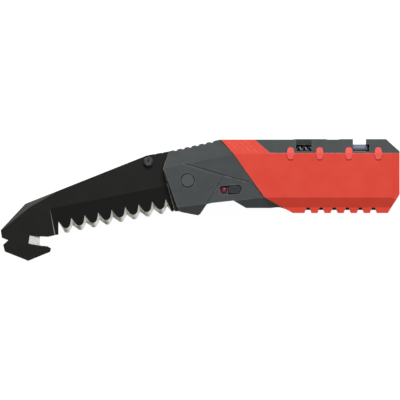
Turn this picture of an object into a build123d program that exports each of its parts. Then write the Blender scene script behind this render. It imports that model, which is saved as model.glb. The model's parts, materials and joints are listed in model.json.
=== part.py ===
"""Folding rescue saw: serrated blade with a strap hook, slide lock and a spring glass striker.

The tool lies on its rear side, blade open. +X runs to the butt, +Y to the spine, +Z out of the
front side. Every piece is placed from the mid-plane of the blade.
"""
import os
from math import atan2, cos, degrees, hypot, radians, sin, tan

from build123d import *

os.makedirs("parts", exist_ok=True)

# ---- Driving dimensions, in millimetres and degrees ----
# thicknesses, from the blade outwards
blade_thickness = 3.2
washer_thickness = 0.4
liner_thickness = 1.5
scale_thickness = 7.5
grip_proud = 0.8
nub_proud = 1.1
nub_round = 0.5
nub_corner = 1.3
base_thickness = 2.0          # hard shell left under the soft grip

# handle outline
butt_x = 126.8
spine_y = 38.4
belly_y = -8.3
spine_pad = 0.3               # raised lengths of the spine
facet_angle = 29.0            # top facet, from the face
shell_belly_angle = 44.0      # bottom facet of the hard shell, from the face
grip_belly_angle = 30.0       # bottom facet of the soft grip, from the face
lip_angle = 6.0               # flatter lip below the grip's bottom facet
lip_y = -4.8
grip_top_y = 29.8

# pivot, stop and lock
pivot_x, pivot_y = -7.87, 12.45
pivot_radius = 3.0
pivot_head_radius = 4.05
pivot_head_height = 2.2
pivot_thread_radius = 1.6
fold_angle = 161.5
stop_radius = 1.6
stop_distance = 10.8
stop_angle = 97.5
lock_disc_radius = 8.0
lock_travel = 5.2
lock_angle = 3.5              # rise of the slide
tongue_width = 3.2
notch_floor = 4.7

# glass striker
striker_y = 33.1
striker_radius = 2.2
rod_radius = 1.2
spring_wire = 1.0
spring_pitch = 3.5

# screws and spacers
screw_radius = 1.25
screw_head_radius = 2.3
screw_head_height = 1.6
spacer_radius = 3.2

# clearances
running = 0.02                # radial, on pins, bores and flat stops
slide_gap = 0.05              # lock plate under the scale
cut_gap = 0.3                 # round anything that moves in a cut-out
ring_gap = 0.25               # round flush heads
head_gap = 0.55               # round the pivot head
edge_gap = 0.35               # shadow line where the soft grip starts

# ---- Places worked out from the sizes above ----
blade_half = blade_thickness / 2
liner_in = blade_half + washer_thickness
liner_out = liner_in + liner_thickness
base_face = liner_out + base_thickness
scale_face = liner_out + scale_thickness
grip_face = scale_face + grip_proud
mid = grip_face               # height of the blade's mid-plane over the rear face
OVER = 5.0                    # how far a cut runs past the metal

butt_chamfer_x = butt_x - 8.6
butt_chamfer_y = spine_y - 7.5
liner_bottom_y = belly_y + 1.95
rail_bottom_y = grip_top_y - 0.3
rail_start_x = 48.7
window_x = (61.0, 71.0)
ramp_angle = 20.0             # thumb ramp from the spine down to the spring window
notch_x = (97.2, 105.6)


def turned(distance, angle):
    """A point at a distance and angle from the pivot."""
    return (pivot_x + distance * cos(radians(angle)), pivot_y + distance * sin(radians(angle)))


def tilted(start, end, height, angle):
    """A plane through a level crease that falls away to the right of start -> end."""
    length = hypot(end[0] - start[0], end[1] - start[1])
    along = ((end[0] - start[0]) / length, (end[1] - start[1]) / length)
    slope = sin(radians(angle))
    normal = (along[1] * slope, -along[0] * slope, cos(radians(angle)))
    return Plane(origin=(start[0], start[1], height), x_dir=(*along, 0), z_dir=normal)


def vee_groove(start, end, height, width, depth):
    """Cut a V along a level line into the part being built."""
    length = hypot(end[0] - start[0], end[1] - start[1])
    along = ((end[0] - start[0]) / length, (end[1] - start[1]) / length)
    across = Plane(origin=(start[0], start[1], height), x_dir=(-along[1], along[0], 0), z_dir=(*along, 0))
    with BuildSketch(across) as section:
        with BuildLine():
            Polyline(
                (-width / 2, 0), (0, -depth), (width / 2, 0), (width / 2, OVER), (-width / 2, OVER), close=True
            )
        make_face()
    extrude(section.sketch, amount=length, mode=Mode.SUBTRACT)


def along_striker(x):
    """A plane across the striker's axis."""
    return Plane(origin=(x, striker_y, mid), x_dir=(0, 1, 0), z_dir=(1, 0, 0))


def along_slide(height):
    """A plane at the pivot whose X axis is the lock's slide direction."""
    direction = (cos(radians(lock_angle)), sin(radians(lock_angle)), 0)
    return Plane(origin=(pivot_x, pivot_y, height), x_dir=direction, z_dir=(0, 0, 1))


def finish(builder, name):
    """Label a finished piece and write it."""
    builder.part.label = name
    export_step(builder.part, f"parts/{name}.step")


# ---- Blade ----
spine_corner = (-111.1, -2.4)
blade_spine_end = (-20.3, 30.8)
left_tip = (-126.8, -19.2)
crease = ((-95.5, -5.4), (-16.5, 10.0))
bevel_angle = 3.0
tooth_bite = 0.89             # how far down the gullets' grind reaches at the edge
tooth_count = 8
tooth_pitch = 8.74
tooth_depth = 3.98
tooth_rise = 11.3
tooth_line = Plane(origin=(-84.1, -20.8, mid), x_dir=(cos(radians(tooth_rise)), sin(radians(tooth_rise)), 0))
first_cusp = (-4.43, 7.9)      # beside the strap hook, in the tooth line's own axes
slot_edge_x = -101.9
slot_y = (-28.8, -23.2)
slot_crease = ((-109.0, -27.7), (-108.3, -22.6))
slot_angle = 11.3
plunge_flare = 35.0           # lean of the wall where the flat grind starts
heel = (-17.8, -7.6)
stud_at = (-32.8, 24.6)
stud_radius = 3.0
stud_height = 3.6
stud_screw_radius = 1.0
stud_dimple_radius = 1.35
stud_hex_radius = 1.2
stud_chamfer = 0.5
spine_grooves = ((-33.2, 29.6), (-28.6, 30.3), (-24.0, 31.1))
spine_groove_radius = 1.2
rivet_radius = 0.9
rivet_distance = 5.6
rivet_angles = (60, 120, 285)

stop_tip = turned(stop_distance, stop_angle)


def stop_flat(distance, angle, side):
    """A point on the flat that meets the stop pin, beside the ray at this angle."""
    offset = side * (stop_radius + running)
    x, y = turned(distance, angle)
    return (x + offset * sin(radians(angle)), y - offset * cos(radians(angle)))


hub_radius = stop_distance - stop_radius - 0.9

with BuildPart() as blade_half_part:
    with BuildSketch(Plane.XY.offset(mid)):
        with BuildLine():
            Polyline(
                spine_corner,
                left_tip,
                (-126.0, -24.0),
                (-122.0, -25.6),
                (-125.2, -28.5),
                (-124.1, -32.8),
                (-109.2, -38.7),
                (-95.3, -33.0),
                (-94.7, -30.8),
                (-96.8, -29.5),
                (slot_edge_x, slot_y[0]),
                (slot_edge_x, slot_y[1]),
                (-96.4, -23.4),
                (-92.3, -22.4),
                (-90.0, -22.0),
                (-90.0, -24.5),
                (-20.0, -11.5),
                heel,
                (-13.5, -4.5),
                (-10.0, 1.5),
                stop_flat(hub_radius + 1, stop_angle - fold_angle, 1),
                stop_flat(hub_radius - 2, stop_angle - fold_angle, 1),
                (pivot_x, pivot_y),
                stop_flat(hub_radius - 2, stop_angle, -1),
                stop_flat(stop_distance + 6, stop_angle, -1),
                (-13.5, 28.6),
                blade_spine_end,
                (-33.7, 28.4),
                close=True,
            )
        make_face()
        with Locations((pivot_x, pivot_y)):
            Circle(hub_radius)
    extrude(amount=blade_half)
    # swedge on the clipped point, then the flat grind above the teeth
    swedge = (-94.0, 3.5), (-108.0, -4.4), (-124.5, -17.8)
    split(bisect_by=tilted(swedge[1], swedge[0], mid + blade_half, -16), keep=Keep.BOTTOM)
    split(bisect_by=tilted(swedge[2], swedge[1], mid + blade_half, -16), keep=Keep.BOTTOM)
    crease_length = hypot(crease[1][0] - crease[0][0], crease[1][1] - crease[0][1])
    with BuildSketch(tilted(crease[0], crease[1], mid + blade_half, bevel_angle)):
        with BuildLine():
            Polyline((0, 0), (crease_length, 0), (crease_length + 3, -24), (0.4, -24), close=True)
        make_face()
    extrude(amount=OVER, taper=-plunge_flare, mode=Mode.SUBTRACT)
    # ground edge inside the strap slot
    with BuildSketch(tilted(slot_crease[0], slot_crease[1], mid + blade_half, slot_angle)):
        with BuildLine():
            Polyline((0, 0), (5.1, 0), (5.4, -9), (-0.4, -9), close=True)
        make_face()
    extrude(amount=OVER, mode=Mode.SUBTRACT)
    mirror(about=Plane.XY.offset(mid))

with BuildPart() as blade:
    add(blade_half_part.part)
    # scalloped teeth: straight gaps through the edge, then the grind that widens towards the front

    def tooth_edge(edge_y, reach, low, apex_lift, first_lift):
        """The wavy edge: each lobe is an arc, each gap two straight flanks up to a cusp."""
        first = (first_cusp[0], first_cusp[1] + first_lift)
        points = [first]
        for tooth in range(tooth_count):
            x = tooth * tooth_pitch
            Line(points[-1], (x - reach, edge_y + low))
            ThreePointArc((x - reach, edge_y + low), (x, edge_y), (x + reach - 0.2, edge_y + low))
            cusp = (x + 4.06, tooth_depth + apex_lift)
            Line((x + reach - 0.2, edge_y + low), cusp)
            points.append(cusp)
        last = (tooth_count - 1) * tooth_pitch
        wall_foot = first[0] - (first[1] + OVER) * tan(radians(tooth_rise))
        Polyline(points[-1], (last + 6.6, -0.3), (last + 6.6, -OVER), (wall_foot, -OVER), first)

    edge_height = blade_half - tooth_bite
    with BuildSketch(tooth_line.offset(-blade_thickness)):
        with BuildLine():
            tooth_edge(0, 1.9, 0.95, 0, 0)
        make_face()
    extrude(amount=2 * blade_thickness, mode=Mode.SUBTRACT)
    with BuildSketch(tooth_line.offset(-edge_height)):
        with BuildLine():
            tooth_edge(0, 1.9, 0.95, 0, 0)
        make_face()
    with BuildSketch(tooth_line.offset(2.0)):
        with BuildLine():
            tooth_edge(5.2, 3.0, 1.6, 7.0, 0.5)
        make_face()
    loft(ruled=True, mode=Mode.SUBTRACT)
    # thumb grooves on the spine
    with BuildSketch(Plane.XY.offset(mid - blade_thickness)):
        with Locations(*spine_grooves):
            Circle(spine_groove_radius)
    extrude(amount=2 * blade_thickness, mode=Mode.SUBTRACT)
    # pivot bore, rivet holes and thumb stud hole
    with BuildSketch(Plane.XY.offset(mid - blade_thickness)):
        with Locations((pivot_x, pivot_y)):
            Circle(pivot_radius + running)
        with Locations(*[turned(rivet_distance, angle) for angle in rivet_angles]):
            Circle(rivet_radius)
        with Locations(stud_at):
            Circle(stud_screw_radius)
    extrude(amount=2 * blade_thickness, mode=Mode.SUBTRACT)
finish(blade, "blade")

# ---- Thumb studs: a threaded one in front and its screw behind ----
with BuildPart() as thumb_stud_front:
    with BuildSketch(Plane.XY.offset(mid + blade_half)):
        with Locations(stud_at):
            Circle(stud_radius)
    extrude(amount=stud_height)
    chamfer(thumb_stud_front.edges().group_by(Axis.Z)[-1], stud_chamfer)
    with BuildSketch(Plane.XY.offset(mid + blade_half + stud_height)):
        with Locations(stud_at):
            Circle(stud_dimple_radius)
    extrude(amount=-0.6, mode=Mode.SUBTRACT)
    with BuildSketch(Plane.XY.offset(mid + blade_half)):
        with Locations(stud_at):
            Circle(stud_screw_radius)
    extrude(amount=2.0, mode=Mode.SUBTRACT)
finish(thumb_stud_front, "thumb_stud_front")

with BuildPart() as thumb_stud_rear:
    with BuildSketch(Plane.XY.offset(mid - blade_half)):
        with Locations(stud_at):
            Circle(stud_radius)
    extrude(amount=-stud_height)
    chamfer(thumb_stud_rear.edges().group_by(Axis.Z)[0], stud_chamfer)
    with BuildSketch(Plane.XY.offset(mid - blade_half - stud_height)):
        with Locations(stud_at):
            RegularPolygon(stud_hex_radius, 6)
    extrude(amount=1.6, mode=Mode.SUBTRACT)
    with BuildSketch(Plane.XY.offset(mid - blade_half)):
        with Locations(stud_at):
            Circle(stud_screw_radius)
    extrude(amount=blade_thickness + 1.8)
finish(thumb_stud_rear, "thumb_stud_rear")

# ---- Lock disc, riveted to the blade, with a notch for each end of the swing ----
disc_face = liner_out - washer_thickness
with BuildPart() as lock_disc:
    with BuildSketch(Plane.XY.offset(mid + blade_half)):
        with Locations((pivot_x, pivot_y)):
            Circle(lock_disc_radius)
            Circle(pivot_radius + running, mode=Mode.SUBTRACT)
        with Locations(*[turned(rivet_distance, angle) for angle in rivet_angles]):
            Circle(rivet_radius, mode=Mode.SUBTRACT)
        for angle in (lock_angle, lock_angle - fold_angle):
            with Locations(Location((*turned(notch_floor + lock_disc_radius / 2, angle), 0), angle)):
                Rectangle(lock_disc_radius, tongue_width + 2 * ring_gap, mode=Mode.SUBTRACT)
    extrude(amount=disc_face - blade_half)
finish(lock_disc, "lock_disc")

with BuildPart() as disc_rivets:
    with BuildSketch(Plane.XY.offset(mid - blade_half)):
        with Locations(*[turned(rivet_distance, angle) for angle in rivet_angles]):
            Circle(rivet_radius)
    extrude(amount=blade_half + disc_face)
finish(disc_rivets, "disc_rivets")

# ---- Pivot ----
head_floor = scale_face - pivot_head_height
with BuildPart() as pivot_barrel:
    with BuildSketch(Plane.XY.offset(mid - head_floor)):
        with Locations((pivot_x, pivot_y)):
            Circle(pivot_radius)
    extrude(amount=2 * head_floor)
    with BuildSketch(Plane.XY.offset(mid + head_floor)):
        with Locations((pivot_x, pivot_y)):
            Circle(pivot_head_radius)
    extrude(amount=pivot_head_height)
    chamfer(pivot_barrel.edges().group_by(Axis.Z)[-1], 0.2)
    with BuildSketch(Plane.XY.offset(mid - head_floor)):
        with Locations((pivot_x, pivot_y)):
            Circle(pivot_thread_radius)
    extrude(amount=head_floor, mode=Mode.SUBTRACT)
finish(pivot_barrel, "pivot_barrel")

with BuildPart() as pivot_screw:
    with BuildSketch(Plane.XY.offset(mid - scale_face)):
        with Locations((pivot_x, pivot_y)):
            Circle(pivot_head_radius)
    extrude(amount=pivot_head_height)
    chamfer(pivot_screw.edges().group_by(Axis.Z)[0], 0.2)
    with BuildSketch(Plane.XY.offset(mid - head_floor)):
        with Locations((pivot_x, pivot_y)):
            Circle(pivot_thread_radius)
    extrude(amount=head_floor - 1)
    with BuildSketch(Plane.XY.offset(mid - scale_face)):
        with Locations((pivot_x, pivot_y)):
            RegularPolygon(2.0, 6)
    extrude(amount=1.5, mode=Mode.SUBTRACT)
finish(pivot_screw, "pivot_screw")

for name, low, high, radius in (
    ("washer_front", disc_face, liner_out, notch_floor - 0.2),
    ("washer_rear", -liner_in, -blade_half, 7.0),
):
    with BuildPart() as washer:
        with BuildSketch(Plane.XY.offset(mid + low)):
            with Locations((pivot_x, pivot_y)):
                Circle(radius)
                Circle(pivot_radius + running, mode=Mode.SUBTRACT)
        extrude(amount=high - low)
    finish(washer, name)

with BuildPart() as stop_pin:
    with BuildSketch(Plane.XY.offset(mid - liner_out)):
        with Locations(stop_tip):
            Circle(stop_radius)
    extrude(amount=2 * liner_out)
finish(stop_pin, "stop_pin")

# ---- Screw places: two front spacers and two in the butt wall ----
spacer_at = ((27.5, 33.6), (42.0, 33.6))
butt_screw_at = ((butt_x - 5.2, 8.0), (butt_x - 5.2, 23.0))
screw_at = spacer_at + butt_screw_at

# ---- Slide lock places, measured along and across the slide from the pivot ----
slide_row = -7.7              # button's centre line, below the tongue's
window_s = (19.9, 34.2)
window_half = 2.9
stem_s = (30.8, 32.6)
limb_s = (28.5, 33.0)
limb_low = slide_row - 2.5
tongue_tip = notch_floor + cut_gap + lock_travel
button_s = (25.6, 33.6)
panel_drop = 0.4
pocket_depth = 2.4
pocket_floor = scale_face - panel_drop - pocket_depth
marker_radius = 2.1
marker_depth = 1.4
marker_s = window_s[0] + 0.6 + marker_radius

# ---- Liners ----
with BuildPart() as liner_rear:
    with BuildSketch(Plane.XY.offset(mid - liner_out)):
        with BuildLine():
            Polyline(
                (-20.1, 30.3),
                (-23.5, 20.0),
                (-16.2, -7.2),
                (-12.3, -7.2),
                (-1.5, -9.2),
                (-0.2, -8.5),
                (4.0, -2.3),
                (7.3, -1.4),
                (21.4, 0.1),
                (29.4, -4.7),
                (51.0, -4.7),
                (56.0, liner_bottom_y),
                (butt_x - 8.4, liner_bottom_y),
                (butt_x - 1.4, 2.2),
                (butt_x - 0.7, 2.2),
                (butt_x - 0.7, rail_bottom_y),
                (rail_start_x, rail_bottom_y),
                (rail_start_x, spine_y - 0.6),
                (12.8, spine_y - 0.6),
                close=True,
            )
        make_face()
        with Locations((pivot_x, pivot_y)):
            Circle(pivot_radius + running, mode=Mode.SUBTRACT)
        with Locations(stop_tip):
            Circle(stop_radius, mode=Mode.SUBTRACT)
        with Locations(*screw_at):
            Circle(screw_radius + running, mode=Mode.SUBTRACT)
    extrude(amount=liner_thickness)
finish(liner_rear, "liner_rear")

with BuildPart() as liner_front:
    mirror(liner_rear.part, about=Plane.XY.offset(mid))
    with BuildSketch(Plane.XY.offset(mid + liner_in)):
        with Locations((pivot_x, pivot_y)):
            Circle(lock_disc_radius + cut_gap)
    extrude(amount=liner_thickness, mode=Mode.SUBTRACT)
    with BuildSketch(along_slide(mid + liner_in)):
        with BuildLine():
            Polyline(
                (0, -tongue_width / 2 - cut_gap),
                (limb_s[0] - lock_travel - cut_gap, -tongue_width / 2 - cut_gap),
                (limb_s[0] - lock_travel - cut_gap, limb_low - cut_gap),
                (limb_s[1] + cut_gap, limb_low - cut_gap),
                (limb_s[1] + cut_gap, tongue_width / 2 + cut_gap),
                (0, tongue_width / 2 + cut_gap),
                close=True,
            )
        make_face()
    extrude(amount=liner_thickness, mode=Mode.SUBTRACT)
finish(liner_front, "liner_front")

# ---- Backspacer: rail under the spine that holds the striker, and the butt wall ----
bore_radius = striker_radius + 0.1
with BuildPart() as backspacer:
    with BuildSketch(Plane.XY.offset(mid - liner_out)):
        with BuildLine():
            Polyline(
                (rail_start_x, rail_bottom_y),
                (rail_start_x, spine_y),
                (butt_chamfer_x, spine_y),
                (butt_x - 0.3, butt_chamfer_y + 0.26),
                (butt_x - 0.3, rail_bottom_y),
                close=True,
            )
        make_face()
    extrude(amount=2 * liner_out)
    with BuildSketch(Plane.XY.offset(mid - liner_in)):
        with BuildLine():
            Polyline(
                (butt_x - 9.5, rail_bottom_y),
                (butt_x - 9.5, 0.0),
                (butt_x - 3.3, 0.0),
                (butt_x - 1.4, 2.4),
                (butt_x - 0.7, 2.4),
                (butt_x - 0.7, rail_bottom_y),
                close=True,
            )
        make_face()
    extrude(amount=2 * liner_in)
    with BuildSketch(along_striker(rail_start_x - OVER)):
        Circle(bore_radius)
    extrude(amount=butt_x - rail_start_x + 2 * OVER, mode=Mode.SUBTRACT)
    with BuildSketch(Plane.XY.offset(mid - liner_in)):
        with Locations(*butt_screw_at):
            Circle(screw_radius + running)
    extrude(amount=2 * liner_in, mode=Mode.SUBTRACT)
    # thumb notch, open to the spine, and the spring window in front
    with BuildSketch(Plane.XY.offset(mid - liner_out)):
        with Locations((sum(notch_x) / 2, spine_y)):
            Rectangle(notch_x[1] - notch_x[0], 2 * (spine_y - striker_y + bore_radius))
    extrude(amount=2 * liner_out, mode=Mode.SUBTRACT)
    with BuildSketch(Plane.XY.offset(mid)):
        with Locations((sum(window_x) / 2, striker_y)):
            Rectangle(window_x[1] - window_x[0], 4.0)
        with Locations((notch_x[1] + 1, striker_y)):
            Rectangle(2, 2 * bore_radius)
    extrude(amount=liner_out, mode=Mode.SUBTRACT)
finish(backspacer, "backspacer")

with BuildPart() as front_spacers:
    with BuildSketch(Plane.XY.offset(mid - liner_in)):
        with Locations(*spacer_at):
            Circle(spacer_radius)
            Circle(screw_radius + running, mode=Mode.SUBTRACT)
    extrude(amount=2 * liner_in)
finish(front_spacers, "front_spacers")

# ---- Glass striker ----
shoulder_x = notch_x[1] + 1.5
collar_start_x = 77.5
plug_length = 4.0
rod_end_x = butt_x - 6.2
tip_length = 2.5
bush_start_x = shoulder_x + 2.8
with BuildPart() as striker:
    with BuildSketch(along_striker(collar_start_x)):
        Circle(striker_radius)
    extrude(amount=shoulder_x - collar_start_x)
    chamfer(striker.edges().filter_by(GeomType.CIRCLE).sort_by(Axis.X)[-1], 0.3)
    with BuildSketch(along_striker(shoulder_x)):
        Circle(rod_radius)
    extrude(amount=rod_end_x - shoulder_x)
finish(striker, "striker")

with BuildPart() as striker_tip:
    with BuildSketch(along_striker(rod_end_x)):
        Circle(rod_radius)
    extrude(amount=tip_length)
    chamfer(striker_tip.edges().filter_by(GeomType.CIRCLE).sort_by(Axis.X)[-1], rod_radius - 0.2)
finish(striker_tip, "striker_tip")

with BuildPart() as striker_bush:
    with BuildSketch(along_striker(bush_start_x)):
        Circle(bore_radius)
        Circle(rod_radius + 0.05, mode=Mode.SUBTRACT)
    extrude(amount=butt_x - 9.0 - bush_start_x)
finish(striker_bush, "striker_bush")

with BuildPart() as spring_plug:
    with BuildSketch(along_striker(rail_start_x)):
        Circle(bore_radius)
    extrude(amount=plug_length)
finish(spring_plug, "spring_plug")

spring_start_x = rail_start_x + plug_length + spring_wire / 2
spring_length = collar_start_x - spring_start_x - spring_wire / 2
with BuildPart() as striker_spring:
    with BuildLine() as spring_path:
        Helix(
            pitch=spring_pitch,
            height=spring_length,
            radius=striker_radius - spring_wire / 2 - 0.2,
            center=(spring_start_x, striker_y, mid),
            direction=(1, 0, 0),
        )
    with BuildSketch(Plane(origin=spring_path.line @ 0, z_dir=spring_path.line % 0)):
        Circle(spring_wire / 2)
    sweep()
finish(striker_spring, "striker_spring")

# ---- Hard scales: one blank, mirrored for the rear ----
scale_crease = ((-23.0, 20.2), (17.5, 28.7))
panel_corner = (15.2, 15.5)
vee_width = 1.7
vee_depth = 0.7
grip_crease_y = 29.5
belly_crease = ((-13.5, -4.6), (39.4, 2.0))
grip_edge = ((13.0, spine_y), (20.6, 29.8), (40.6, 1.7), (51.3, -4.3), (58.8, belly_y))
band_back = ((44.5, grip_top_y), (34.6, spine_y))
edge_lean = (grip_edge[1][0] - grip_edge[0][0]) / (grip_edge[0][1] - grip_edge[1][1])
band_lean = (band_back[0][0] - band_back[1][0]) / (band_back[1][1] - band_back[0][1])
jimp_pitch = 4.7
jimp_depth = 0.8
jimp_radius = 1.35
jimp_start = 1.0              # first groove, in pitches from the front corner
scale_top = ((-20.0, 30.9), (12.7, spine_y))
top_slope = degrees(atan2(scale_top[1][1] - scale_top[0][1], scale_top[1][0] - scale_top[0][0]))

with BuildPart() as scale_blank:
    with BuildSketch(Plane.XY.offset(mid + liner_out)):
        with BuildLine():
            Polyline(
                scale_top[0],
                (-23.2, 20.0),
                (-13.7, -6.7),
                (-12.1, -7.7),
                (-1.3, -9.8),
                (0.1, -9.0),
                (4.3, -2.7),
                (7.4, -1.9),
                (21.3, -0.4),
                (29.3, -5.1),
                (52.8, -5.1),
                (57.0, -3.0),
                (butt_x - 10, -3.0),
                (butt_x - 4, 3.4),
                (butt_x - 1.8, 3.4),
                (butt_x - 1.8, grip_top_y),
                (butt_x, grip_top_y),
                (butt_x, butt_chamfer_y),
                (butt_chamfer_x, spine_y + spine_pad),
                (89.0, spine_y + spine_pad),
                (88.0, spine_y),
                (81.0, spine_y),
                (80.0, spine_y + spine_pad),
                (60.0, spine_y + spine_pad),
                (59.0, spine_y),
                scale_top[1],
                close=True,
            )
        make_face()
    extrude(amount=scale_thickness)
    # top facets: one along the jimped front slope, one along the straight spine
    split(bisect_by=tilted(scale_crease[1], scale_crease[0], mid + scale_face, facet_angle), keep=Keep.BOTTOM)
    split(
        bisect_by=tilted((butt_x, grip_crease_y), (0, grip_crease_y), mid + scale_face, facet_angle),
        keep=Keep.BOTTOM,
    )
    # bottom facet, as far as it shows
    crease_length = hypot(belly_crease[1][0] - belly_crease[0][0], belly_crease[1][1] - belly_crease[0][1])
    with BuildSketch(tilted(belly_crease[0], belly_crease[1], mid + scale_face, shell_belly_angle)):
        with BuildLine():
            Polyline((-9, 0), (crease_length + 15, 0), (crease_length + 15, -20), (-9, -20), close=True)
        make_face()
    extrude(amount=scale_thickness, mode=Mode.SUBTRACT)
    # bed for the soft grip
    with BuildSketch(Plane.XY.offset(mid + base_face)):
        with BuildLine():
            Polyline(
                (grip_edge[0][0] - edge_lean * OVER, spine_y + OVER),
                *grip_edge[:4],
                (grip_edge[4][0] + OVER, belly_y - 2.7),
                (butt_x + OVER, belly_y - 2.7),
                (butt_x + OVER, grip_top_y),
                *band_back,
                (band_back[1][0] - band_lean * OVER, spine_y + OVER),
                close=True,
            )
        make_face()
    extrude(amount=scale_thickness, mode=Mode.SUBTRACT)
    # thumb grooves along the front slope
    with BuildSketch(Plane.XY.offset(mid + liner_out)):
        with Locations(*[
            Location((
                scale_top[0][0] + (jimp_start + step) * jimp_pitch * cos(radians(top_slope))
                - (jimp_radius - jimp_depth) * sin(radians(top_slope)),
                scale_top[0][1] + (jimp_start + step) * jimp_pitch * sin(radians(top_slope))
                + (jimp_radius - jimp_depth) * cos(radians(top_slope)),
            ))
            for step in range(6)
        ]):
            Circle(jimp_radius)
    extrude(amount=scale_thickness, mode=Mode.SUBTRACT)
    # engraved line down from the front facet
    vee_groove((-10.2, 23.1), panel_corner, mid + scale_face, vee_width, vee_depth)
    vee_groove(panel_corner, (31.4, 11.1), mid + scale_face, vee_width, vee_depth)
    # thumb notch through the spine, and a relief over the spring window
    with BuildSketch(Plane.XY.offset(mid + liner_out)):
        with Locations((sum(notch_x) / 2, spine_y + 1)):
            Rectangle(notch_x[1] - notch_x[0], 2 * (spine_y + 1 - striker_y + bore_radius))
    extrude(amount=scale_thickness, mode=Mode.SUBTRACT)
    # pivot bore and the seat of its head
    with BuildSketch(Plane.XY.offset(mid + liner_out)):
        with Locations((pivot_x, pivot_y)):
            Circle(pivot_radius + running)
    extrude(amount=scale_thickness, mode=Mode.SUBTRACT)
    with BuildSketch(Plane.XY.offset(mid + head_floor)):
        with Locations((pivot_x, pivot_y)):
            Circle(pivot_head_radius + head_gap)
    extrude(amount=scale_thickness, mode=Mode.SUBTRACT)

with BuildPart() as scale_front:
    add(scale_blank.part)
    # lowered panel with the lock's pocket and stem slot
    with BuildSketch(Plane.XY.offset(mid + scale_face - panel_drop)):
        with BuildLine():
            Polyline(panel_corner, (4.6, -2.0), (4.3, -9), (60, -9), (60, 3.4), close=True)
        make_face()
    extrude(amount=OVER, mode=Mode.SUBTRACT)
    vee_groove(panel_corner, (4.4, -2.4), mid + scale_face - panel_drop / 2, vee_width, vee_depth)
    with BuildSketch(along_slide(mid + pocket_floor)):
        with BuildLine():
            Polyline(
                (window_s[0] + 1.2, slide_row - window_half),
                (window_s[1] - 2.0, slide_row - window_half),
                (window_s[1], slide_row + 0.4),
                (window_s[1] - 1.2, slide_row + window_half),
                (window_s[0] + 1.2, slide_row + window_half),
                (window_s[0], slide_row + window_half - 1.2),
                (window_s[0], slide_row - window_half + 1.2),
                close=True,
            )
        make_face()
    extrude(amount=OVER, mode=Mode.SUBTRACT)
    with BuildSketch(along_slide(mid + pocket_floor - marker_depth)):
        with Locations((marker_s, slide_row)):
            Circle(marker_radius + running)
    extrude(amount=marker_depth, mode=Mode.SUBTRACT)
    with BuildSketch(along_slide(mid + liner_out)):
        slot_low = stem_s[0] - lock_travel - cut_gap
        slot_high = stem_s[1] + cut_gap
        with Locations(((slot_low + slot_high) / 2, slide_row)):
            Rectangle(slot_high - slot_low, 3.0)
    extrude(amount=scale_thickness, mode=Mode.SUBTRACT)
    # spring window and the wider foot of the thumb notch
    with BuildSketch(Plane.XY.offset(mid + liner_out)):
        with Locations((sum(window_x) / 2, striker_y)):
            Rectangle(window_x[1] - window_x[0], 4.0)
        with Locations((notch_x[1] + 1, striker_y)):
            Rectangle(2, 2 * bore_radius)
    extrude(amount=scale_thickness, mode=Mode.SUBTRACT)
    spine_edge_z = scale_face - (spine_y - grip_crease_y) * tan(radians(facet_angle))
    with BuildSketch(tilted((0, spine_y), (butt_x, spine_y), mid + spine_edge_z - 0.4, ramp_angle)):
        with Locations((sum(window_x) / 2, -0.75)):
            Rectangle(window_x[1] - window_x[0], 5.5)
    extrude(amount=OVER, mode=Mode.SUBTRACT)
    with BuildSketch(Plane.XY.offset(mid + liner_out)):
        with Locations(*screw_at):
            Circle(screw_radius + running)
    extrude(amount=base_thickness - 0.5, mode=Mode.SUBTRACT)
finish(scale_front, "scale_front")

with BuildPart() as scale_rear:
    mirror(scale_blank.part, about=Plane.XY.offset(mid))
    with BuildSketch(Plane.XY.offset(mid - liner_out)):
        with Locations(*screw_at):
            Circle(screw_radius + running)
    extrude(amount=-scale_thickness, mode=Mode.SUBTRACT)
    with BuildSketch(Plane.XY.offset(mid - base_face)):
        with Locations(*screw_at):
            Circle(screw_head_radius + ring_gap)
    extrude(amount=-scale_thickness, mode=Mode.SUBTRACT)
finish(scale_rear, "scale_rear")

# ---- Soft grips over the beds ----
belly_crease_y = 1.7
groove_depth = 0.25
band_groove_x = 25.5
band_groove_pitch = 3.6
band_groove_count = 4
nub_at = (57.5, 76.0, 94.5, 113.2)
nub_width = 5.2
nub_height = 7.8
groove_count = 6
groove_pitch = 8.32
groove_start = 66.3

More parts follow.
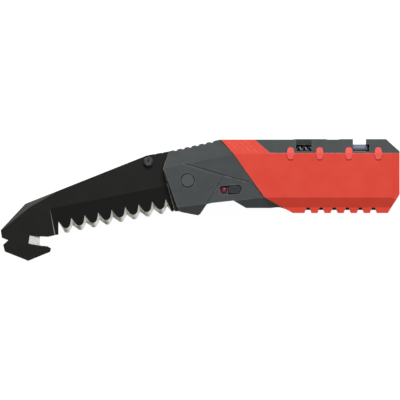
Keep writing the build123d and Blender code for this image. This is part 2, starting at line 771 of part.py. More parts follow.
with BuildPart() as grip_blank:
    with BuildSketch(Plane.XY.offset(mid + liner_out)):
        with BuildLine():
            Polyline(
                *[(x + edge_gap, y) for x, y in grip_edge],
                (butt_x - 7.5, belly_y),
                (butt_x - 0.4, 3.0),
                (butt_x, 3.8),
                (butt_x, grip_top_y),
                *band_back,
                close=True,
            )
        make_face()
        # finger notches in the belly
        for step in range(groove_count):
            left = groove_start + step * groove_pitch
            with BuildLine():
                Polyline(
                    (left - 0.4, belly_y - 1),
                    (left + 1.4, belly_y + 3.5),
                    (left + 3.3, belly_y + 3.5),
                    (left + 5.1, belly_y - 1),
                    close=True,
                )
            make_face(mode=Mode.SUBTRACT)
    extrude(amount=scale_thickness + grip_proud)
    split(
        bisect_by=tilted((butt_x, grip_crease_y), (0, grip_crease_y), mid + grip_face, facet_angle),
        keep=Keep.BOTTOM,
    )
    # bottom facet, with a flatter lip along its edge
    lip_z = mid + grip_face - (belly_crease_y - lip_y) * tan(radians(grip_belly_angle))
    with BuildSketch(Plane.YZ):
        with BuildLine():
            Polyline(
                (belly_crease_y, mid + grip_face),
                (lip_y, lip_z),
                (lip_y - 10, lip_z - 10 * tan(radians(lip_angle))),
                (lip_y - 10, mid + grip_face + OVER),
                (belly_crease_y, mid + grip_face + OVER),
                close=True,
            )
        make_face()
    extrude(amount=butt_x + OVER, mode=Mode.SUBTRACT)
    # faint diagonal grooves across the band over the spine
    with BuildSketch(
        tilted((butt_x, grip_crease_y), (0, grip_crease_y), mid + grip_face - groove_depth, facet_angle)
    ):
        for step in range(band_groove_count):
            foot = butt_x - band_groove_x - step * band_groove_pitch
            with BuildLine():
                Polyline((foot, -1.2), (foot + 0.9, -1.2), (foot + 8.2, -9.2), (foot + 7.3, -9.2), close=True)
            make_face()
    extrude(amount=2, mode=Mode.SUBTRACT)
    split(bisect_by=tilted((butt_x - 5.4, 60), (butt_x - 5.4, -60), mid + grip_face, -12), keep=Keep.BOTTOM)


def nub_outlines(height):
    """Shield shapes over the top crease, on a level plane at this height."""
    with BuildSketch(Plane.XY.offset(height)) as outlines:
        for x in nub_at:
            with BuildLine():
                Polyline(
                    (x - 1.6, grip_crease_y + nub_height / 2),
                    (x + 1.6, grip_crease_y + nub_height / 2),
                    (x + nub_width / 2, grip_crease_y - 0.5),
                    (x + 1.5, grip_crease_y - nub_height / 2),
                    (x - 1.5, grip_crease_y - nub_height / 2),
                    (x - nub_width / 2, grip_crease_y - 0.5),
                    close=True,
                )
            make_face()
        fillet(outlines.vertices(), nub_corner)
    return outlines


with BuildPart() as grip_front:
    add(grip_blank.part)
    extrude(nub_outlines(mid + base_face).sketch, amount=grip_face + nub_proud - base_face)
    fillet(grip_front.edges().group_by(Axis.Z)[-1], nub_round)
    nub_crease = ((butt_x, grip_crease_y + 0.6), (0, grip_crease_y + 0.6))
    split(bisect_by=tilted(*nub_crease, mid + grip_face + nub_proud, facet_angle), keep=Keep.BOTTOM)
    add(scale_blank.part, mode=Mode.SUBTRACT)
finish(grip_front, "grip_front")

with BuildPart() as grip_rear:
    mirror(grip_blank.part, about=Plane.XY.offset(mid))
    # nubs level with the rear face, proud of the top facet only
    extrude(nub_outlines(mid - base_face).sketch, amount=base_face - grip_face)
    rear_fall = Plane(
        origin=(0, grip_crease_y + 1.6, 0),
        x_dir=(1, 0, 0),
        z_dir=(0, sin(radians(facet_angle)), -cos(radians(facet_angle))),
    )
    split(bisect_by=rear_fall, keep=Keep.BOTTOM)
    mirror(scale_blank.part, about=Plane.XY.offset(mid), mode=Mode.SUBTRACT)
    with BuildSketch(Plane.XY.offset(mid - base_face)):
        with Locations(*screw_at):
            Circle(screw_head_radius + ring_gap)
    extrude(amount=-grip_face, mode=Mode.SUBTRACT)
finish(grip_rear, "grip_rear")

# ---- Slide lock ----
plate_low = liner_in + slide_gap
plate_high = liner_out - slide_gap
with BuildPart() as lock_plate:
    with BuildSketch(along_slide(mid + plate_low)):
        with BuildLine():
            Polyline(
                (tongue_tip, -tongue_width / 2),
                (limb_s[0], -tongue_width / 2),
                (limb_s[0], limb_low),
                (limb_s[1], limb_low),
                (limb_s[1], tongue_width / 2),
                (tongue_tip, tongue_width / 2),
                close=True,
            )
        make_face()
        with Locations((sum(stem_s) / 2, slide_row)):
            Circle(rivet_radius * 0.7, mode=Mode.SUBTRACT)
    extrude(amount=plate_high - plate_low)
finish(lock_plate, "lock_plate")

with BuildPart() as lock_button:
    with BuildSketch(along_slide(mid + pocket_floor + slide_gap)):
        with BuildLine():
            Polyline(
                (button_s[0], slide_row - 1.4),
                (button_s[0] + 1.0, slide_row - 2.4),
                (button_s[1] - 1.8, slide_row - 2.4),
                (button_s[1], slide_row + 0.3),
                (button_s[1] - 1.1, slide_row + 2.4),
                (button_s[0] + 1.0, slide_row + 2.4),
                (button_s[0], slide_row + 1.4),
                close=True,
            )
        make_face()
    extrude(amount=pocket_depth)
    chamfer(lock_button.edges().group_by(Axis.Z)[-1], 0.35)
    with BuildSketch(along_slide(mid + plate_high)):
        with Locations((sum(stem_s) / 2, slide_row)):
            Rectangle(stem_s[1] - stem_s[0], 2.4)
    extrude(amount=pocket_floor + slide_gap - plate_high)
    with BuildSketch(along_slide(mid + plate_high)):
        with Locations((sum(stem_s) / 2, slide_row)):
            Circle(rivet_radius * 0.7)
    extrude(amount=2.5, mode=Mode.SUBTRACT)
finish(lock_button, "lock_button")

with BuildPart() as lock_rivet:
    with BuildSketch(along_slide(mid + plate_low)):
        with Locations((sum(stem_s) / 2, slide_row)):
            Circle(rivet_radius * 0.7)
    extrude(amount=plate_high - plate_low + 2.5)
finish(lock_rivet, "lock_rivet")

with BuildPart() as unlocked_marker:
    with BuildSketch(along_slide(mid + pocket_floor - marker_depth)):
        with Locations((marker_s, slide_row)):
            Circle(marker_radius)
    extrude(amount=marker_depth)
    fillet(unlocked_marker.edges().group_by(Axis.Z)[-1], marker_depth - 0.2)
finish(unlocked_marker, "unlocked_marker")

# ---- Body screws, driven from the rear ----
with BuildPart() as body_screws:
    with BuildSketch(Plane.XY.offset(mid - base_face - screw_head_height)):
        with Locations(*screw_at):
            Circle(screw_head_radius)
    extrude(amount=screw_head_height)
    with BuildSketch(Plane.XY.offset(mid - base_face)):
        with Locations(*screw_at):
            Circle(screw_radius)
    extrude(amount=base_face + base_face - 0.5)
    with BuildSketch(Plane.XY.offset(mid - base_face - screw_head_height)):
        with Locations(*screw_at):
            RegularPolygon(1.25, 6)
    extrude(amount=1.0, mode=Mode.SUBTRACT)
finish(body_screws, "body_screws")
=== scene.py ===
# %% [markdown]
# # A folding rescue saw
# The saw lies on its rear side with the blade open. The construction comes packed, in metres, with
# +X to the butt, +Y to the spine and +Z out of the front side. This lesson gives every surface its
# finish, rounds the sharp edges, and lights the tool for a straight-down view.

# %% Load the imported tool
import json
import math

import bpy
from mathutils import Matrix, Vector


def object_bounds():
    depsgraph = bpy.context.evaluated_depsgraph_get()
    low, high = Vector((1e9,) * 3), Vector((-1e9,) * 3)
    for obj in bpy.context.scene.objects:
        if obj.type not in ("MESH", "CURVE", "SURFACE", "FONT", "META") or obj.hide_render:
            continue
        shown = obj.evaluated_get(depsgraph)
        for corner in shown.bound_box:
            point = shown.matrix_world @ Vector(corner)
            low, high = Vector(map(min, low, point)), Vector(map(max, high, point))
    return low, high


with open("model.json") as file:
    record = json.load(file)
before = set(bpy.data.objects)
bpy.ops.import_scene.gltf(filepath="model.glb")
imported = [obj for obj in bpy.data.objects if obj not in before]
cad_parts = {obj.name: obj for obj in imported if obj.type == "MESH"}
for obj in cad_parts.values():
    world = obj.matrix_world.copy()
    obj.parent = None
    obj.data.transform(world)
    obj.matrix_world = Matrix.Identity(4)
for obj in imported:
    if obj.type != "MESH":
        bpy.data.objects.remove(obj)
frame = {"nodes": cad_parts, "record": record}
cad_low, cad_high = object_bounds()
print("CAD box", [round(v, 4) for v in (*cad_low, *cad_high)])

# %% [markdown]
# ## Colour values
# Paint charts give colours as sRGB bytes, while shaders want linear light. A small converter lets
# each finish be written the way that a maker would name it.

# %% Colour helper
MM = 0.001


def byte_colour(red, green, blue):
    """An sRGB byte colour as the linear RGBA that a shader socket takes."""
    linear = []
    for value in (red, green, blue):
        share = value / 255
        linear.append(share / 12.92 if share <= 0.04045 else ((share + 0.055) / 1.055) ** 2.4)
    return (*linear, 1.0)


print("middle grey", [round(v, 3) for v in byte_colour(128, 128, 128)])

# %% [markdown]
# ## A node group for fine grain
# Moulded plastic, soft grip and coated steel all carry a fine pebble from the mould or the blasting.
# One group makes it for every material: a noise for the pebble's height, and a broad, slow noise
# for the blotches of tone that handling leaves. Object coordinates keep it fixed to each piece.

# %% Grain group


def new_group(name, inputs, outputs):
    """A shader node group whose inputs and outputs are named numbers."""
    group = bpy.data.node_groups.new(name, "ShaderNodeTree")
    for label, value in inputs.items():
        socket = group.interface.new_socket(label, in_out="INPUT", socket_type="NodeSocketFloat")
        socket.default_value = value
    for label in outputs:
        group.interface.new_socket(label, in_out="OUTPUT", socket_type="NodeSocketFloat")
    enter = group.nodes.new("NodeGroupInput")
    leave = group.nodes.new("NodeGroupOutput")
    return group, enter, leave


def math_node(tree, operation, first, second=None, clamp=False):
    """A Math node fed by sockets or plain numbers."""
    node = tree.nodes.new("ShaderNodeMath")
    node.operation = operation
    node.use_clamp = clamp
    for index, source in enumerate((first, second)):
        if source is None:
            continue
        if isinstance(source, (int, float)):
            node.inputs[index].default_value = source
        else:
            tree.links.new(source, node.inputs[index])
    return node.outputs[0]


def spread(tree, value, low, high, to_low=0.0, to_high=1.0):
    """A Map Range node that eases from to_low at low to to_high at high, and stays level beyond."""
    node = tree.nodes.new("ShaderNodeMapRange")
    node.interpolation_type = "SMOOTHSTEP"
    tree.links.new(value, node.inputs["Value"])
    node.inputs["From Min"].default_value = low
    node.inputs["From Max"].default_value = high
    node.inputs["To Min"].default_value = to_low
    node.inputs["To Max"].default_value = to_high
    return node.outputs["Result"]


# the middle stretch of a noise's values, and a slightly wider one
noise_middle = (0.35, 0.65)
noise_wider = (0.3, 0.7)

grain, grain_in, grain_out = new_group(
    "fine_grain", {"Pebble Size": 0.4, "Blotch Size": 12.0}, ["Height", "Blotch"]
)
grain_place = grain.nodes.new("ShaderNodeTexCoord").outputs["Object"]
for size_label, output_label, detail in (("Pebble Size", "Height", 2.0), ("Blotch Size", "Blotch", 4.0)):
    noise = grain.nodes.new("ShaderNodeTexNoise")
    noise.inputs["Detail"].default_value = detail
    grain.links.new(grain_place, noise.inputs["Vector"])
    per_metre = math_node(grain, "DIVIDE", 1 / MM, grain_in.outputs[size_label])
    grain.links.new(per_metre, noise.inputs["Scale"])
    grain.links.new(noise.outputs["Fac"], grain_out.inputs[output_label])
print("group", grain.name, "with", len(grain.nodes), "nodes")

# %% [markdown]
# ## A node group for edge wear and painted edge highlights
# Corners lose their coating first, and the same mask also paints the thin highlight that a lit edge or
# crease shows. A Bevel node gives the normal that a rounded edge would have; where it leans away from
# the true normal there is an edge. Noise breaks the line up, so the mask is patchy, as scuffing leaves it,
# and the Evenness input is the least that a gap in the line keeps.

# %% Edge wear and painted highlight group
# the dot product of the two normals on a flat surface, and on an edge that is fully marked, scuffed through
# or painted as a highlight
on_the_flat, on_the_edge = 0.997, 0.93

wear_and_highlight, wear_and_highlight_in, wear_and_highlight_out = new_group(
    "edge_wear_and_highlight",
    {"Edge Width": 0.3, "Breakup Size": 2.0, "Amount": 0.6, "Evenness": 0.3},
    ["Mask"],
)
rounded = wear_and_highlight.nodes.new("ShaderNodeBevel")
rounded.samples = 6
wear_and_highlight.links.new(math_node(wear_and_highlight, "MULTIPLY", wear_and_highlight_in.outputs["Edge Width"], MM), rounded.inputs["Radius"])
true_normal = wear_and_highlight.nodes.new("ShaderNodeNewGeometry").outputs["Normal"]
lean = wear_and_highlight.nodes.new("ShaderNodeVectorMath")
lean.operation = "DOT_PRODUCT"
wear_and_highlight.links.new(rounded.outputs["Normal"], lean.inputs[0])
wear_and_highlight.links.new(true_normal, lean.inputs[1])
edge = spread(wear_and_highlight, lean.outputs["Value"], on_the_flat, on_the_edge)
patches = wear_and_highlight.nodes.new("ShaderNodeTexNoise")
patches.inputs["Detail"].default_value = 5.0
wear_and_highlight.links.new(wear_and_highlight.nodes.new("ShaderNodeTexCoord").outputs["Object"], patches.inputs["Vector"])
patches_per_metre = math_node(wear_and_highlight, "DIVIDE", 1 / MM, wear_and_highlight_in.outputs["Breakup Size"])
wear_and_highlight.links.new(patches_per_metre, patches.inputs["Scale"])
patchy = spread(wear_and_highlight, patches.outputs["Fac"], *noise_middle)
patchy = math_node(wear_and_highlight, "MAXIMUM", patchy, wear_and_highlight_in.outputs["Evenness"])
broken = math_node(wear_and_highlight, "MULTIPLY", edge, patchy)
# the mask marks scuffed edges, and it also paints the highlight along edges and creases
worn_and_highlit = math_node(wear_and_highlight, "MULTIPLY", broken, wear_and_highlight_in.outputs["Amount"], clamp=True)
wear_and_highlight.links.new(worn_and_highlit, wear_and_highlight_out.inputs["Mask"])
print("group", wear_and_highlight.name, "with", len(wear_and_highlight.nodes), "nodes")

# %% [markdown]
# ## A node group for grinding lines
# Ground and drawn steel shows fine parallel scratches. Noise stretched along one axis makes them.
# A small share on an axis draws the noise out along it, and both shares are inputs, so the same group
# serves the blade, whose lines run straight across it, and the striker, whose marks are shorter.

# %% Grinding line group
lines, lines_in, lines_out = new_group(
    "grinding_lines", {"Across X": 1.0, "Across Y": 1.0, "Line Size": 0.15}, ["Height"]
)
parts_of = lines.nodes.new("ShaderNodeSeparateXYZ")
lines.links.new(lines.nodes.new("ShaderNodeTexCoord").outputs["Object"], parts_of.inputs[0])
stretched = lines.nodes.new("ShaderNodeCombineXYZ")
for axis in "XY":
    scaled = math_node(lines, "MULTIPLY", parts_of.outputs[axis], lines_in.outputs["Across " + axis])
    lines.links.new(scaled, stretched.inputs[axis])
lines.links.new(parts_of.outputs["Z"], stretched.inputs["Z"])
scratches = lines.nodes.new("ShaderNodeTexNoise")
scratches.inputs["Detail"].default_value = 3.0
lines.links.new(stretched.outputs[0], scratches.inputs["Vector"])
lines.links.new(math_node(lines, "DIVIDE", 1 / MM, lines_in.outputs["Line Size"]), scratches.inputs["Scale"])
lines.links.new(scratches.outputs["Fac"], lines_out.inputs["Height"])
print("group", lines.name, "with", len(lines.nodes), "nodes")

# %% [markdown]
# ## Starting a material
# Every finish starts the same way: a Principled shader with its uniform numbers set on its own
# sockets, and helpers to place a group, mix two colours by a mask, and turn a height into a bump.
# The roughness given at the start is a middle value, which each finish then varies by its texture.

# %% Material helpers


def new_finish(name, roughness, metallic=0.0, specular=0.5):
    """A material with a Principled shader; returns the material, its tree and the shader."""
    material = bpy.data.materials.new(name)
    material.use_nodes = True
    shader = material.node_tree.nodes["Principled BSDF"]
    shader.inputs["Roughness"].default_value = roughness
    shader.inputs["Metallic"].default_value = metallic
    shader.inputs["Specular IOR Level"].default_value = specular
    return material, material.node_tree, shader


def place_group(tree, group, **values):
    """Place a node group and set its inputs; Pebble_Size stands for "Pebble Size"."""
    node = tree.nodes.new("ShaderNodeGroup")
    node.node_tree = group
    for label, value in values.items():
        node.inputs[label.replace("_", " ")].default_value = value
    return node


def mix_colours(tree, mask, under, over):
    """Mix two colours, each a value or a socket, by a mask socket."""
    node = tree.nodes.new("ShaderNodeMix")
    node.data_type = "RGBA"
    tree.links.new(mask, node.inputs["Factor"])
    colour_a, colour_b, colour_out = node.inputs[6], node.inputs[7], node.outputs[2]
    for socket, source in ((colour_a, under), (colour_b, over)):
        if isinstance(source, tuple):
            socket.default_value = source
        else:
            tree.links.new(source, socket)
    return colour_out


def bump(tree, shader, height, strength, depth_mm):
    """Feed a height through a Bump node to the shader's normal."""
    node = tree.nodes.new("ShaderNodeBump")
    node.inputs["Strength"].default_value = strength
    node.inputs["Distance"].default_value = depth_mm * MM
    tree.links.new(height, node.inputs["Height"])
    tree.links.new(node.outputs["Normal"], shader.inputs["Normal"])


finishes = {}
print("material helpers ready")

# %% [markdown]
# ## Picking out a place on a piece
# Some finishes cover only a part of a piece. A painted mask would need an image, and a vertex group
# is lost when the construction is packed again. Comparing a place or a lean with a limit needs
# neither, though the limits are lengths and have to move when the piece changes size. Masks multiply,
# so that the product shows only where all of them do.

# %% Mask helpers


def above(tree, value, limit):
    """A mask that is 1 where a value is over a limit."""
    return math_node(tree, "GREATER_THAN", value, limit)


def below(tree, value, limit):
    """A mask that is 1 where a value is under a limit."""
    return math_node(tree, "LESS_THAN", value, limit)


def all_of(tree, *masks):
    """A mask that is 1 only where every given mask is."""
    joined = masks[0]
    for mask in masks[1:]:
        joined = math_node(tree, "MULTIPLY", joined, mask)
    return joined


def between(tree, value, limits):
    """A mask that is 1 where a value lies between two limits."""
    return all_of(tree, above(tree, value, limits[0]), below(tree, value, limits[1]))


def place_in(tree):
    """The sockets of a point's own X, Y and Z in the piece."""
    apart = tree.nodes.new("ShaderNodeSeparateXYZ")
    tree.links.new(tree.nodes.new("ShaderNodeTexCoord").outputs["Object"], apart.inputs[0])
    return apart.outputs["X"], apart.outputs["Y"], apart.outputs["Z"]


print("mask helpers ready")

# %% [markdown]
# ## Moulded finishes: hard shell, soft grip, button and marker
# The grey shell is glass-filled plastic with a spark-eroded texture; the red grip is a softer
# moulding with a finer skin. All four finishes are one recipe with different sizes: two close tones
# mixed by the blotches, a pebble bump, and paler edges that are part wear and part painted highlight
# along the edges and creases.

# %% Moulded plastics


def moulded(
    name, tone, light_tone, rubbed_and_highlit, roughness, pebble, depth_mm, wear_and_highlight_amount, specular=0.25, edge_mm=0.4
):
    """A textured moulding: blotched tone, pebble bump, and paler edges that are part scuffing and part
    painted highlight.
    """
    material, tree, shader = new_finish(name, roughness, specular=specular)
    texture = place_group(tree, grain, Pebble_Size=pebble, Blotch_Size=9.0)
    rubbing_and_highlight = place_group(
        tree, wear_and_highlight, Edge_Width=edge_mm, Breakup_Size=3.0, Amount=wear_and_highlight_amount, Evenness=0.45
    )
    blotches = spread(tree, texture.outputs["Blotch"], *noise_middle)
    body = mix_colours(tree, blotches, tone, light_tone)
    tree.links.new(mix_colours(tree, rubbing_and_highlight.outputs["Mask"], body, rubbed_and_highlit), shader.inputs["Base Color"])
    swing = 0.06
    rough = spread(tree, texture.outputs["Height"], *noise_wider, roughness - swing, roughness + swing)
    tree.links.new(rough, shader.inputs["Roughness"])
    bump(tree, shader, texture.outputs["Height"], strength=0.5, depth_mm=depth_mm)
    finishes[name] = material


# the shell's pale edge tone paints the highlight along its edges and creases as well as scuffing
moulded(
    "grey_shell", byte_colour(64, 68, 68), byte_colour(68, 72, 73), byte_colour(126, 132, 136),
    roughness=0.62, pebble=0.35, depth_mm=0.06, wear_and_highlight_amount=0.55, edge_mm=0.8,
)
moulded(
    "red_grip", byte_colour(215, 64, 47), byte_colour(218, 68, 51), byte_colour(250, 142, 134),
    roughness=0.55, pebble=0.25, depth_mm=0.03, wear_and_highlight_amount=0.6, edge_mm=0.5,
)
moulded(
    "grey_button", byte_colour(40, 42, 43), byte_colour(45, 47, 48), byte_colour(120, 124, 128),
    roughness=0.5, pebble=0.3, depth_mm=0.03, wear_and_highlight_amount=0.8,
)
moulded(
    "red_marker", byte_colour(112, 8, 30), byte_colour(128, 12, 36), byte_colour(220, 120, 140),
    roughness=0.16, pebble=0.8, depth_mm=0.01, wear_and_highlight_amount=0.3, specular=1.0,
)
print("moulded finishes:", sorted(finishes))

# %% [markdown]
# ## Nubs with a painted highlight
# The four nubs of each grip are painted paler than the rest, a painted highlight for the light that they
# catch. They stand over the crease between the grip's face and the facet beside the spine. On the front
# face they rise above every other red surface, so their height picks them out. Past the crease, behind the
# red band, nothing else is red, so a limit along it picks out the rest of each nub, on the rear grip too.

# %% Painted highlight on the nubs
nub_foot, nub_top = cad_high.z - 1.0 * MM, cad_high.z - 0.3 * MM
crease_start, crease_end = 29.7 * MM, 30.2 * MM
band_end = 50 * MM
highlight_share = 0.45

grip_tree = finishes["red_grip"].node_tree
grip_shader = grip_tree.nodes["Principled BSDF"]
grip_tone = grip_shader.inputs["Base Color"].links[0].from_socket
grip_x, grip_y, grip_z = place_in(grip_tree)
on_top = spread(grip_tree, grip_z, nub_foot, nub_top, 0.0, highlight_share)
past_crease = spread(grip_tree, grip_y, crease_start, crease_end, 0.0, highlight_share)
on_facet = all_of(grip_tree, past_crease, above(grip_tree, grip_x, band_end))
highlight_painted = math_node(grip_tree, "MAXIMUM", on_top, on_facet)
# the paler red is a painted highlight on the nubs
nub_highlight_tone = mix_colours(grip_tree, highlight_painted, grip_tone, byte_colour(250, 104, 104))
grip_tree.links.new(nub_highlight_tone, grip_shader.inputs["Base Color"])
print("front nubs polished from", round(nub_foot, 4), "to", round(nub_top, 4), "m up")

# %% [markdown]
# ## Where the blade is ground bare
# The blade is coated black before its teeth and its strap hook are ground, so the grinding shows bare
# metal. Ground surfaces lean away from the blade's flat, so the true normal finds them, and limits
# along the blade and across it keep each mask to its own place.

# %% Bare metal masks
# how squarely a surface faces out of the blade's flat: 1 lies in the flat, 0 stands upright on it
tooth_facing = 0.955
slot_facing = (0.5, 0.99)
teeth_x, teeth_top_y = (-90.5 * MM, -18.6 * MM), 2.0 * MM
slot_x, slot_y = (-110.0 * MM, -94.0 * MM), (-28.9 * MM, -22.0 * MM)

blade_finish, blade_tree, blade_shader = new_finish("black_blade", 0.42, specular=0.25)
normal_of = blade_tree.nodes.new("ShaderNodeSeparateXYZ")
blade_tree.links.new(
    blade_tree.nodes.new("ShaderNodeNewGeometry").outputs["True Normal"], normal_of.inputs[0]
)
facing = math_node(blade_tree, "ABSOLUTE", normal_of.outputs["Z"])
blade_x, blade_y = place_in(blade_tree)[:2]

teeth_bare = all_of(
    blade_tree,
    below(blade_tree, facing, tooth_facing),
    between(blade_tree, blade_x, teeth_x),
    below(blade_tree, blade_y, teeth_top_y),
)
slot_bare = all_of(
    blade_tree,
    between(blade_tree, facing, slot_facing),
    between(blade_tree, blade_x, slot_x),
    between(blade_tree, blade_y, slot_y),
)
bare = math_node(blade_tree, "MAXIMUM", teeth_bare, slot_bare)
print("teeth bare over", round(teeth_x[1] - teeth_x[0], 4), "m of the blade")

# %% [markdown]
# ## The grind, the clipped point and the plunge
# Three more surfaces keep their coat but get painted light and shade. The long flat grind leans so little
# that its limits are close to 1, and it gets a painted shade, darker. The clipped point, beside the spine
# and at the end over the hook's slot, gets a painted highlight, lighter. The plunge, the short wall where
# the flat grind ends, gets a pale painted highlight.

# %% Masks for the grind, the point and the plunge
grind_facing, grind_start_x = (0.985, 0.9995), -96 * MM
point_facing, point_end_x = (0.5, 0.995), -97 * MM
slot_roof_y = -21.5 * MM
spine_slope, spine_height = math.tan(math.radians(21.8)), 33.2 * MM
plunge_facing, plunge_top_y = (0.3, 0.97), -4.5 * MM
plunge_x = (-97 * MM, -90.5 * MM)

ground_flat = all_of(
    blade_tree, between(blade_tree, facing, grind_facing), above(blade_tree, blade_x, grind_start_x)
)
# the spine slopes evenly here, so taking the slope off Y leaves the height over a line along it
level_y = math_node(blade_tree, "ADD", math_node(blade_tree, "MULTIPLY", blade_x, -spine_slope), blade_y)
beside_spine = above(blade_tree, level_y, spine_height)
over_slot = all_of(
    blade_tree, below(blade_tree, blade_x, point_end_x), above(blade_tree, blade_y, slot_roof_y)
)
clipped_point = all_of(
    blade_tree,
    between(blade_tree, facing, point_facing),
    math_node(blade_tree, "MAXIMUM", beside_spine, over_slot),
)
plunge = all_of(
    blade_tree,
    between(blade_tree, facing, plunge_facing),
    between(blade_tree, blade_x, plunge_x),
    below(blade_tree, blade_y, plunge_top_y),
)
print("blade masks use", len(blade_tree.nodes), "nodes")

# %% [markdown]
# ## The blade's black coat
# The coat is black with a fine grain. Its tones are laid one over the other: two close
# blacks by the blotches, then the painted shade and the two painted highlights of the three surfaces,
# then the paler edges, part wear and part painted highlight.

# %% Black coat
coat = place_group(blade_tree, grain, Pebble_Size=0.25, Blotch_Size=14.0)
rubbed_and_highlit = place_group(blade_tree, wear_and_highlight, Edge_Width=0.3, Breakup_Size=2.5, Amount=0.55, Evenness=0.3)
coat_blotches = spread(blade_tree, coat.outputs["Blotch"], *noise_middle)
black = mix_colours(blade_tree, coat_blotches, byte_colour(13, 14, 11), byte_colour(18, 19, 15))
# painted shade on the flat grind, painted highlights on the clipped point and the plunge, and paler edges
# that are part wear and part painted highlight along the spine
for mask, tone in (
    (ground_flat, byte_colour(5, 5, 4)),
    (clipped_point, byte_colour(66, 66, 63)),
    (plunge, byte_colour(150, 148, 140)),
    (rubbed_and_highlit.outputs["Mask"], byte_colour(110, 112, 110)),
):
    black = mix_colours(blade_tree, mask, black, tone)
print("black coat laid over", coat.node_tree.name)

# %% [markdown]
# ## The blade's bare steel
# The flanks that face the butt are bright and lined; the
# others and the rounded lobes are duller, greener and mottled. The normal's X tells them apart.

# %% Bare steel, and the whole blade
facing_butt = 0.22
scratch = place_group(blade_tree, lines, Across_X=1.0, Across_Y=0.06, Line_Size=0.16)
steel_lines = spread(blade_tree, scratch.outputs["Height"], *noise_middle)
steel = mix_colours(blade_tree, steel_lines, byte_colour(214, 216, 210), byte_colour(248, 249, 244))
mottle = place_group(blade_tree, grain, Pebble_Size=1.1, Blotch_Size=2.2)
mottling = spread(blade_tree, mottle.outputs["Blotch"], *noise_middle)
dull_steel = mix_colours(blade_tree, mottling, byte_colour(150, 153, 139), byte_colour(218, 220, 206))
away_from_butt = spread(blade_tree, normal_of.outputs["X"], facing_butt, 0.0)
dull = all_of(blade_tree, away_from_butt, teeth_bare)
steel = mix_colours(blade_tree, dull, steel, dull_steel)

bare_metallic, scratch_share, blade_roughness = 0.55, 0.7, (0.36, 0.5)
blade_tree.links.new(mix_colours(blade_tree, bare, black, steel), blade_shader.inputs["Base Color"])
blade_tree.links.new(math_node(blade_tree, "MULTIPLY", bare, bare_metallic), blade_shader.inputs["Metallic"])
blade_rough = spread(blade_tree, coat.outputs["Height"], *noise_wider, *blade_roughness)
blade_tree.links.new(blade_rough, blade_shader.inputs["Roughness"])
scratch_height = math_node(blade_tree, "MULTIPLY", scratch.outputs["Height"], scratch_share)
relief = math_node(blade_tree, "ADD", scratch_height, coat.outputs["Height"])
bump(blade_tree, blade_shader, relief, strength=0.35, depth_mm=0.03)
finishes["black_blade"] = blade_finish
print("blade finish has", len(blade_tree.nodes), "nodes")

# %% [markdown]
# ## Coated and bare metal fittings
# Screws, studs and liners are blackened steel, the pivot's cap is a flat grey, and the working pieces
# inside are bare steel, bronze or carbide. Separate materials for all of them would repeat the same
# nodes, so one function makes each from its tones, how metallic it is, and how fine its lines are.

# %% Metals


def metal(
    name, tone, worn_and_highlit_tone, roughness, metallic, line_size, wear_and_highlight_amount,
    across=(1.0, 0.05), evenness=0.4, edge_mm=0.25,
):
    """A turned or drawn metal: lines in its tone and bump, and brighter edges that are part scuffing and
    part painted highlight.
    """
    material, tree, shader = new_finish(name, roughness, metallic)
    scratch = place_group(tree, lines, Across_X=across[0], Across_Y=across[1], Line_Size=line_size)
    rubbed_and_highlit = place_group(
        tree, wear_and_highlight, Edge_Width=edge_mm, Breakup_Size=1.6, Amount=wear_and_highlight_amount, Evenness=evenness
    )
    groove_share, swing = 0.82, 0.07
    groove_tone = tuple(v * groove_share for v in tone[:3]) + (1.0,)
    body = mix_colours(tree, spread(tree, scratch.outputs["Height"], *noise_middle), groove_tone, tone)
    tree.links.new(mix_colours(tree, rubbed_and_highlit.outputs["Mask"], body, worn_and_highlit_tone), shader.inputs["Base Color"])
    rough = spread(tree, scratch.outputs["Height"], *noise_wider, roughness - swing, roughness + swing)
    tree.links.new(rough, shader.inputs["Roughness"])
    bump(tree, shader, scratch.outputs["Height"], strength=0.3, depth_mm=0.02)
    finishes[name] = material


# the pale edge tone also paints the glint on the rims of the studs
metal(
    "black_fitting", byte_colour(46, 46, 49), byte_colour(176, 178, 182),
    roughness=0.38, metallic=0.3, line_size=0.2, wear_and_highlight_amount=0.8, evenness=0.3, edge_mm=0.4,
)
# the pale edge tone also paints the highlight line along the liners' edges
metal(
    "black_liner", byte_colour(48, 48, 48), byte_colour(196, 196, 194),
    roughness=0.4, metallic=0.2, line_size=0.3, wear_and_highlight_amount=0.95, evenness=0.75, edge_mm=0.75,
)
metal(
    "grey_fitting", byte_colour(68, 73, 74), byte_colour(140, 144, 148),
    roughness=0.55, metallic=0.0, line_size=0.3, wear_and_highlight_amount=0.4,
)
metal(
    "bare_steel", byte_colour(122, 129, 142), byte_colour(196, 200, 208),
    roughness=0.6, metallic=0.25, line_size=0.12, wear_and_highlight_amount=0.4, across=(1.0, 0.3),
)
metal(
    "spring_steel", byte_colour(196, 198, 202), byte_colour(230, 230, 234),
    roughness=0.4, metallic=0.3, line_size=0.1, wear_and_highlight_amount=0.3,
)
metal(
    "bronze", byte_colour(186, 148, 96), byte_colour(224, 190, 140),
    roughness=0.35, metallic=0.9, line_size=0.15, wear_and_highlight_amount=0.3,
)
metal(
    "carbide", byte_colour(108, 108, 112), byte_colour(170, 170, 175),
    roughness=0.35, metallic=0.8, line_size=0.1, wear_and_highlight_amount=0.4,
)
print("finishes:", len(finishes))

# %% [markdown]
# ## Put each finish on its pieces
# The record names a material slot for each node, so a loop over it dresses every piece.

# %% Dress the pieces
for entry in frame["record"]["subparts"]:
    piece = frame["nodes"][entry["node"]]
    piece.data.materials.clear()
    piece.data.materials.append(finishes[entry["material_slot"]])

# %% [markdown]
# ## Rounded edges
# Moulded and tumbled edges are never knife sharp, and the thin highlight along them is what
# makes a part look real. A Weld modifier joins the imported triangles, and a Bevel modifier limited by
# angle rounds only the true corners. The CAD mesh underneath stays as it is.

# %% Round the edges
weld_reach = 0.002 * MM


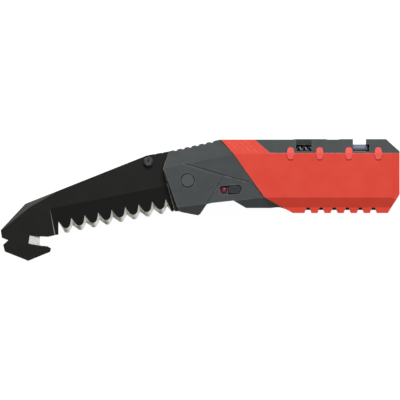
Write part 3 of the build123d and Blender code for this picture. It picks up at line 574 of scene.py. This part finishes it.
def round_edges(node, width_mm, segments=2, angle=24):
    """Round a piece's true corners with modifiers."""
    piece = frame["nodes"][node]
    weld = piece.modifiers.new("joined", "WELD")
    weld.merge_threshold = weld_reach
    bevel = piece.modifiers.new("rounded", "BEVEL")
    bevel.width = width_mm * MM
    bevel.segments = segments
    bevel.limit_method = "ANGLE"
    bevel.angle_limit = math.radians(angle)
    bevel.use_clamp_overlap = True
    bevel.harden_normals = True


for node in ("scale_front", "scale_rear"):
    round_edges(node, width_mm=0.25)
for node in ("grip_front", "grip_rear"):
    round_edges(node, width_mm=0.35)
round_edges("lock_button", width_mm=0.15)
print("rounded the shells, the grips and the button")

# %% [markdown]
# ## Floor
# A white floor fills the view. To the camera, and in what metal or glass reflects or lets through, it
# is nearly white by itself, and the little light that it still catches lets the soft contact shadow
# show. The glow is left out of diffuse light. From below the floor is clear, so the underside shows.

# %% Floor
floor_width, floor_gap = 6.0, 0.05 * MM
floor_grey, floor_glow = 0.20, 0.95


def pale_floor():
    """A large floor just under the tool that shows white and keeps a soft shadow."""
    bpy.ops.mesh.primitive_plane_add(size=floor_width, location=(0, 0, -floor_gap))
    floor = bpy.context.object
    floor.name = "floor"
    material = bpy.data.materials.new("pale_floor")
    material.use_nodes = True
    tree = material.node_tree
    output = tree.nodes["Material Output"]
    diffuse = tree.nodes["Principled BSDF"]
    diffuse.inputs["Base Color"].default_value = (floor_grey, floor_grey, floor_grey, 1)
    diffuse.inputs["Roughness"].default_value = 1.0
    diffuse.inputs["Specular IOR Level"].default_value = 0.0
    glow = tree.nodes.new("ShaderNodeEmission")
    path = tree.nodes.new("ShaderNodeLightPath")
    seen = math_node(tree, "MAXIMUM", path.outputs["Is Camera Ray"], path.outputs["Is Glossy Ray"])
    seen = math_node(tree, "MAXIMUM", seen, path.outputs["Is Transmission Ray"])
    tree.links.new(math_node(tree, "MULTIPLY", seen, floor_glow), glow.inputs["Strength"])
    both = tree.nodes.new("ShaderNodeAddShader")
    tree.links.new(diffuse.outputs[0], both.inputs[0])
    tree.links.new(glow.outputs[0], both.inputs[1])
    clear = tree.nodes.new("ShaderNodeBsdfTransparent")
    side = tree.nodes.new("ShaderNodeMixShader")
    tree.links.new(tree.nodes.new("ShaderNodeNewGeometry").outputs["Backfacing"], side.inputs["Fac"])
    tree.links.new(both.outputs[0], side.inputs[1])
    tree.links.new(clear.outputs[0], side.inputs[2])
    tree.links.new(side.outputs[0], output.inputs["Surface"])
    floor.data.materials.append(material)
    return floor


floor = pale_floor()
print("floor placed at", round(floor.location.z, 5))

# %% [markdown]
# ## Light
# One large soft lamp stands beyond the spine and lights the top facets more than the faces. A weak,
# low lamp beyond the belly and the butt lifts the lower facets a little, and an even world fills the
# rest. The level is plain: a middle tone renders about as it is written.

# %% Lamps


def area_lamp(name, place, size, power):
    """A square lamp that faces the tool."""
    data = bpy.data.lights.new(name, "AREA")
    data.shape = "SQUARE"
    data.size = size
    data.energy = power
    lamp = bpy.data.objects.new(name, data)
    lamp.location = place
    lamp.rotation_mode = "QUATERNION"
    lamp.rotation_quaternion = (-Vector(place)).to_track_quat("-Z", "Y")
    bpy.context.collection.objects.link(lamp)
    return lamp


area_lamp("spine_lamp", place=(0.1, 0.72, 1.06), size=0.5, power=14.0)
area_lamp("belly_lamp", place=(0.8, -0.95, 0.3), size=0.6, power=1.6)

fill_strength = 0.3
world = bpy.data.worlds.new("studio")
bpy.context.scene.world = world
world.use_nodes = True
sky = world.node_tree.nodes["Background"]
sky.inputs["Color"].default_value = (1, 1, 1, 1)
sky.inputs["Strength"].default_value = fill_strength

# %% [markdown]
# ## Camera
# The tool is seen square on, so a long lens looks straight down from far enough that its whole
# length just fills the width.

# %% Camera
view_width = 254.0 * MM
view_plane = cad_high.z * 0.9
lens, far_limit = 900.0, 40.0

camera_data = bpy.data.cameras.new("camera")
camera_data.lens = lens
camera_data.clip_end = far_limit
camera = bpy.data.objects.new("camera", camera_data)
camera.location = (0, 0, view_plane + view_width * lens / camera_data.sensor_width)
bpy.context.collection.objects.link(camera)
bpy.context.scene.camera = camera
bpy.context.scene.view_settings.view_transform = "Standard"
print("camera height", round(camera.location.z, 3))
